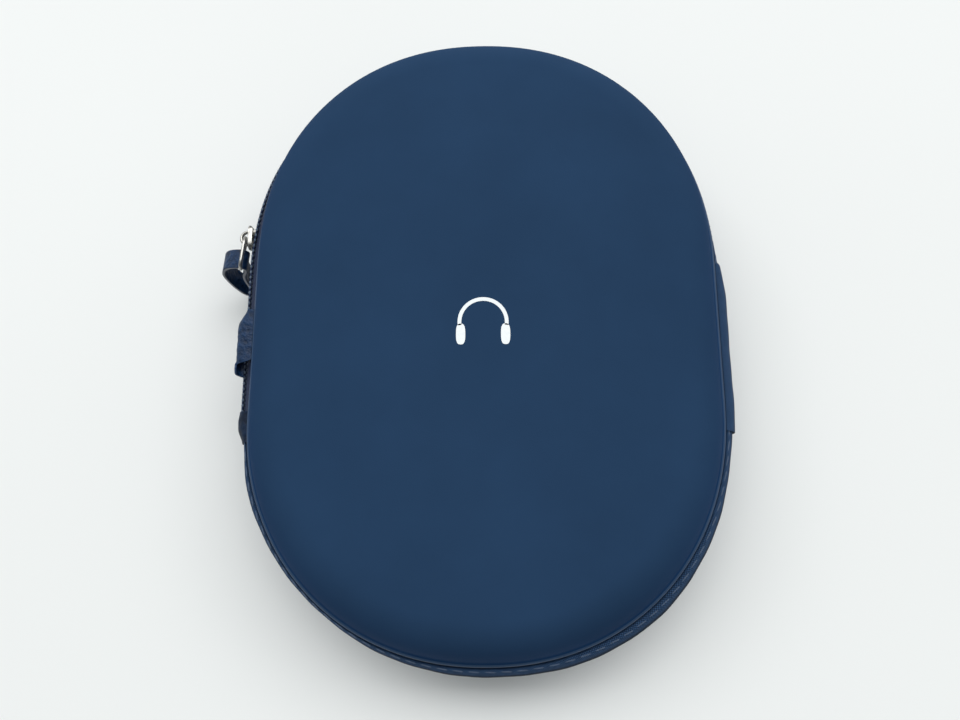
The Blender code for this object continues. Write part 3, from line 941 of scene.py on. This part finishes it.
def make_slider():
    """Two plates joined by a wedge, with folded edges that hold the coil."""
    bm = bmesh.new()
    half = SLIDER_LENGTH / 2
    slab(bm, shield(half, 2.9, 2.15), PLATE_FACE, 0.75, 0.22)
    slab(bm, shield(half - 0.8, 2.5, 1.9), PLATE_BACK - 0.7, 0.7, 0.2)
    wedge = [(y + 1.9, z * 0.3) for y, z in shield(1.2, 0.9, 0.3, 20)]
    slab(bm, wedge, PLATE_FACE + 0.4, PLATE_BACK - PLATE_FACE - 0.8, 0.02)
    for sign in (1, -1):
        rib = [(y, z + sign * RIB_OFFSET) for y, z in shield(half * 0.72, 0.26, 0.26, 24)]
        slab(bm, rib, PLATE_FACE + 0.3, 1.2, 0.01)
    bmesh.ops.recalc_face_normals(bm, faces=bm.faces)
    plates = mesh_object("slider_plates", bm, 40.0)
    finish(plates, "zip_slider", metal_material, "silver_metal", "slider_body")


def make_bridge():
    """Low arch on the slider's face that holds the ring, wider than it is thick."""
    half_span, root, widening = 2.3, 0.25, 1.35
    reach = PLATE_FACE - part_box("slider_bridge")[0][0] / MM - 0.62
    arch = []
    for step in range(29):
        angle = math.pi * step / 28
        x = PLATE_FACE + root - (reach + root) * math.sin(angle) ** 0.72
        arch.append(Vector((x, SLIDER_Y + half_span * math.cos(angle), SEAM)))
    bridge = tube("slider_arch", arch, 0.55, sides=14)
    for vertex in bridge.data.vertices:
        vertex.co.z = SEAM * MM + (vertex.co.z - SEAM * MM) * widening
    finish(bridge, "zip_slider", metal_material, "silver_metal", "slider_bridge")


make_slider()
make_bridge()

RING_ANGLE = math.radians(6)                 # off the line of the zip
RING_LEAN = math.radians(15)                 # off standing on edge
RING_REACH = 10.8
RING_HALF_WIDTH = 2.3
RING_WIRE = 0.6
RING_CORNER = 2.25
ring_near = Vector((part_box("slider_bridge")[0][0] / MM + 1.95, SLIDER_Y, SEAM))
ring_along = Vector((-math.sin(RING_ANGLE), -math.cos(RING_ANGLE), 0))
ring_outward = Vector((-math.cos(RING_ANGLE), math.sin(RING_ANGLE), 0))
ring_side = ring_outward * math.sin(RING_LEAN) - Vector((0, 0, math.cos(RING_LEAN)))


def ring_point(along, side):
    return ring_near + ring_along * along + ring_side * (RING_HALF_WIDTH * side)


def make_ring():
    """Racetrack of round wire, standing nearly on edge beside the zip."""
    points = []
    far_centre, near_centre = RING_REACH - RING_CORNER, RING_CORNER
    for centre, other, side in ((far_centre, near_centre, 1), (near_centre, far_centre, -1)):
        for step in range(19):
            angle = math.radians(10 * step - 90 * side)
            points.append(ring_point(centre + RING_CORNER * math.cos(angle), math.sin(angle)))
        for step in range(1, 6):
            points.append(ring_point(centre + (other - centre) * step / 6, side))
    ring = tube("pull_ring_wire", points, RING_WIRE, closed=True, sides=18)
    finish(ring, "pull_ring", metal_material, "silver_metal", "pull_ring")


make_ring()

STRAP_HALF_WIDTH = 3.3
STRAP_SHIFT = 1.8
STRAP_WALL = 0.95
STRAP_DRIFT = 0.20                           # how far the loop trails along the ring on its way down
hang = [(0.0, 1.35), (-1.3, 0.0), (-0.9, -2.0), (0.4, -4.4), (0.9, -8.0), (0.7, -13.0), (1.1, -17.0),
        (2.5, -18.9), (4.6, -17.4), (6.5, -13.0), (7.6, -8.0), (7.5, -4.4), (6.0, -1.4), (2.9, 0.7)]
strap_middle = ring_near + ring_along * (RING_REACH / 2 + STRAP_SHIFT) + ring_side * RING_HALF_WIDTH


def strap_point(outward, up, across, drift=0.0):
    slide = drift * max(0.0, -up)
    return strap_middle + ring_outward * outward + Vector((0, 0, up)) + ring_along * (across + slide)


def make_strap():
    """Leatherette loop with a pale cut edge, folded over the ring and hanging down beside the case."""
    path = smooth_path([Vector(point) for point in hang], 7, True)
    count = len(path)
    half = STRAP_WALL / 2
    corner = [(STRAP_HALF_WIDTH - 0.4, 1.0), (STRAP_HALF_WIDTH - 0.06, 0.97), (STRAP_HALF_WIDTH, 0.82)]
    upper = [(-across, side) for across, side in reversed(corner)] + corner
    ribbon = upper + [(across, -side) for across, side in reversed(upper)]
    rows = []
    for across, side in ribbon:
        row = []
        for index in range(count):
            forward = (path[(index + 1) % count] - path[index - 1]).normalized()
            normal = Vector((-forward.y, forward.x))
            outward, up = path[index] + normal * (half * side)
            row.append(strap_point(outward, up, across, STRAP_DRIFT))
        rows.append(row)
    strap = lofted("pull_strap_loop", rows, loop_u=True, loop_v=True)
    finish(strap, "pull_strap", trim_material, "trim_leatherette", "pull_strap")
    strap.data.materials.append(edge_material)
    cut_edges = (len(upper) - 1, len(ribbon) - 1)
    for index, polygon in enumerate(strap.data.polygons):
        if index // count in cut_edges:
            polygon.material_index = 1
    holes = [(strap_point(4.05, 0.35, across), ring_along, Vector((0, 0, 1))) for across in (-1.7, 0.1, 1.9)]
    stitches = bead_chain("pull_strap_stitches", holes, 1.1, 0.2, squash=0.5)
    finish(stitches, "pull_strap", tape_material, "trim_leatherette")


make_strap()


# ---------------- inside

TRAY_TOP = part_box("tray_insert")[1][2] / MM - 0.8
TRAY_FLOOR = 8.0
POCKET_SAG = 1.1


def make_tray():
    """Moulded fleece tray: rolled edge, steep wall and a flat floor."""
    wall = moved_in(shell_surface(BASE_CROWN_RUN), SHELL_WALL + LINER_WALL + 2 * LINER_GAP)
    outer = flip(clipped(wall, HEIGHT - TRAY_TOP))
    edge = outer[0][0]
    rim = [(edge - 0.2, TRAY_TOP + 0.35), (edge - 0.9, TRAY_TOP + 0.72), (edge - 2.6, TRAY_TOP + 0.8),
           (edge - 4.4, TRAY_TOP + 0.7), (edge - 5.6, TRAY_TOP + 0.1), (edge - 6.7, TRAY_TOP - 1.2),
           (edge - 7.6, TRAY_TOP - 4.0), (edge - 8.2, TRAY_FLOOR + 4.0), (edge - 8.9, TRAY_FLOOR + 1.7),
           (edge - 10.4, TRAY_FLOOR + 0.4), (edge - 13.0, TRAY_FLOOR), (-40.0, TRAY_FLOOR),
           (-CENTRE_RUN, TRAY_FLOOR)]
    tray = bowl("moulded_tray", outer, rim, 3.0)
    finish(tray, "base", tray_material, "tray_fleece", "tray_insert")


def make_island():
    """Block between the ear cups, covered in the same fleece and waisted a little in the middle."""
    low, high = (Vector(corner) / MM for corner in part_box("centre_island"))
    half_width, half_length = (high.x - low.x) / 2, (high.y - low.y) / 2
    rows = []
    layers = [(0.0, low.z), (-0.3, low.z + 2), (0.0, high.z - 5), (0.5, high.z - 3), (1.6, high.z - 1.4),
              (3.4, high.z - 0.4), (5.6, high.z), (9.0, high.z), (12.5, high.z - 0.3)]
    for inset, height in layers:
        row = []
        for angle in angles(96):
            x, y = math.cos(angle), math.sin(angle)
            waist = 1 - 0.10 * hump(y, 0, 0.42)
            row.append(Vector(((half_width - inset) * x * waist, (half_length - inset) * y, height)))
        rows.append(row)
    island = lofted("centre_block", rows, loop_u=True, caps="rows")
    finish(island, "base", tray_material, "tray_fleece", "centre_island")


def pocket_sag(x):
    """How far the mouth of the pocket hangs away from the lid."""
    return POCKET_SAG * (1 - (x / 66) ** 2)


def make_pocket_panel(rim, mouth, level):
    """Two faces of stretch mesh, drawn from the middle of the mouth out to the rim and closed round it."""
    rows = []
    for side, rings in ((1, range(13)), (-1, range(12, -1, -1))):
        for ring in rings:
            row = []
            for point in rim:
                x, y = point.x * (ring / 12), mouth + (point.y - mouth) * (ring / 12)
                sag = pocket_sag(x) * hump(y, mouth, 26)
                row.append(Vector((x, y, level - sag + side * 0.24)))
            rows.append(row)
    panel = lofted("pocket_panel", rows, loop_v=True)
    bm = bmesh.new()
    bm.from_mesh(panel.data)
    bmesh.ops.remove_doubles(bm, verts=bm.verts, dist=0.00001)
    bmesh.ops.holes_fill(bm, edges=[e for e in bm.edges if e.is_boundary], sides=0)
    bmesh.ops.recalc_face_normals(bm, faces=bm.faces)
    bm.to_mesh(panel.data)
    bm.free()
    return finish(panel, "lid", mesh_material, "stretch_mesh", "lid_pocket_mesh")


def make_pocket_hem(half_width, mouth, level):
    """Flat elastic along the mouth, a little gathered all the way except at its ends."""
    steps = 80
    rows = []
    for angle in angles(16):
        row = []
        for index in range(steps + 1):
            x = half_width * (2 * index / steps - 1)
            ruche = 0.18 * math.sin(index * 2.4) if 2 < index < steps - 2 else 0.0
            thickness = (0.62 + ruche * 0.6) * math.sin(angle)
            row.append(Vector((x, mouth + 3.4 + 3.3 * math.cos(angle), level - pocket_sag(x) + thickness)))
        rows.append(row)
    hem = lofted("pocket_elastic", rows, loop_v=True, caps="ends")
    return finish(hem, "lid", binding_material, "binding_tape", "lid_pocket_hem")


def make_pocket():
    """Stretch panel across the lower half of the lid, with an elastic mouth and a bound edge."""
    low, high = (Vector(corner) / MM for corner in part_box("lid_pocket_mesh"))
    edge = high.x - HALF_WIDTH
    mouth = high.y
    level = (low.z + high.z) / 2
    run = run_between(distance_on_side(-1, mouth), distance_on_side(1, mouth), 3.0)
    rim = [place(distance, edge, level) for distance in run]
    panel = make_pocket_panel(rim, mouth, level)
    hem = make_pocket_hem(high.x, mouth, level)
    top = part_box("lid_pocket_binding")[1][1] / MM
    section = [(edge - 0.4, 40.3), (edge + 0.9, 40.15), (edge + 1.5, 40.6), (edge + 1.5, 41.4),
               (edge + 0.9, 41.85), (edge - 0.4, 41.7)]
    span = run_between(distance_on_side(-1, top), distance_on_side(1, top), 2.5)
    binding = swept("pocket_binding", lambda distance: section, span)
    finish(binding, "lid", binding_material, "binding_tape", "lid_pocket_binding")


make_tray()
make_island()
make_pocket()


# ---------------- printed symbol on the lid

def make_symbol():
    """Small generic headphone sign: a band and two ear cups, printed flat on the lid."""
    middle_y, level, depth = -2.0, HEIGHT + 0.02, 0.05
    bm = bmesh.new()

    def flat_shape(outline):
        rings = [[bm.verts.new(Vector((x, middle_y + y, height)) * MM) for x, y in outline]
                 for height in (level - depth, level)]
        skin_rings(bm, rings)

    def arc(radius, degrees):
        return [(radius * math.cos(math.radians(a)), radius * math.sin(math.radians(a))) for a in degrees]

    flat_shape(arc(7.4, range(-8, 189, 4)) + arc(6.3, range(188, -9, -4)))
    for side in (1, -1):
        cup = []
        for angle in angles(40):
            x = 1.35 * signed_power(math.cos(angle), 0.7)
            y = 3.1 * signed_power(math.sin(angle), 0.7)
            cup.append((side * 6.5 + x, y - 3.6))
        flat_shape(cup)
    bmesh.ops.recalc_face_normals(bm, faces=bm.faces)
    symbol = mesh_object("lid_symbol", bm, 30.0)
    finish(symbol, "lid", print_material, "moulded_leatherette")


make_symbol()


# ---------------- floor, camera, light

FLOOR_HALF = 12.0         # metres

grid = bmesh.new()
bmesh.ops.create_grid(grid, x_segments=1, y_segments=1, size=FLOOR_HALF)
floor = mesh_object("floor", grid)
floor.data.materials.append(floor_material)

camera_data = bpy.data.cameras.new("camera")
camera_data.sensor_width = 36.0
camera_data.lens = 27.04
camera_data.clip_start = 0.01
camera = bpy.data.objects.new("camera", camera_data)
camera.location = (0.0023, -0.0558, LIP * MM + 0.2230)
camera.rotation_euler = [math.radians(turn) for turn in (11.87, 0.97, -0.25)]
bpy.context.scene.collection.objects.link(camera)
bpy.context.scene.camera = camera

window_data = bpy.data.lights.new("window", "AREA")
window_data.shape = "RECTANGLE"
window_data.size = 14.0
window_data.size_y = 3.0
window_data.energy = 520
window = bpy.data.objects.new("window", window_data)
window.location = (0.0, 3.4, 6.4)
window.rotation_euler = (Vector() - window.location).to_track_quat("-Z", "Y").to_euler()
bpy.context.scene.collection.objects.link(window)

ROOM_STRENGTH = 0.485
ROOM_LEAN = 0.40          # how much brighter towards +Y, and duller towards -Y
HORIZON_STRENGTH = 0.60   # least strength at the horizon, fading out above it


def make_room():
    """Pale room, brighter on the window's side and overhead, with a horizon that is never dark."""
    world = bpy.data.worlds.new("room")
    world.use_nodes = True
    n = Nodes(world.node_tree)
    _, y, z = n.parts("Generated")
    levels = [(0.0, 1.05), (0.25, 0.75), (0.55, 1.0), (0.85, 1.24), (1.0, 1.2)]
    colour = n.ramp(z, [(position, (level * 0.97, level, level * 0.995)) for position, level in levels])
    lean = n.math("MULTIPLY_ADD", y, ROOM_LEAN, ROOM_STRENGTH)
    glow = n.spread(z, HORIZON_STRENGTH, 0.05, 0.05, 0.45)
    background = n.tree.nodes["Background"]
    n.link(colour, background.inputs["Color"])
    n.link(n.math("MAXIMUM", lean, glow), background.inputs["Strength"])
    return world


bpy.context.scene.world = make_room()
bpy.context.scene.view_settings.view_transform = "Standard"
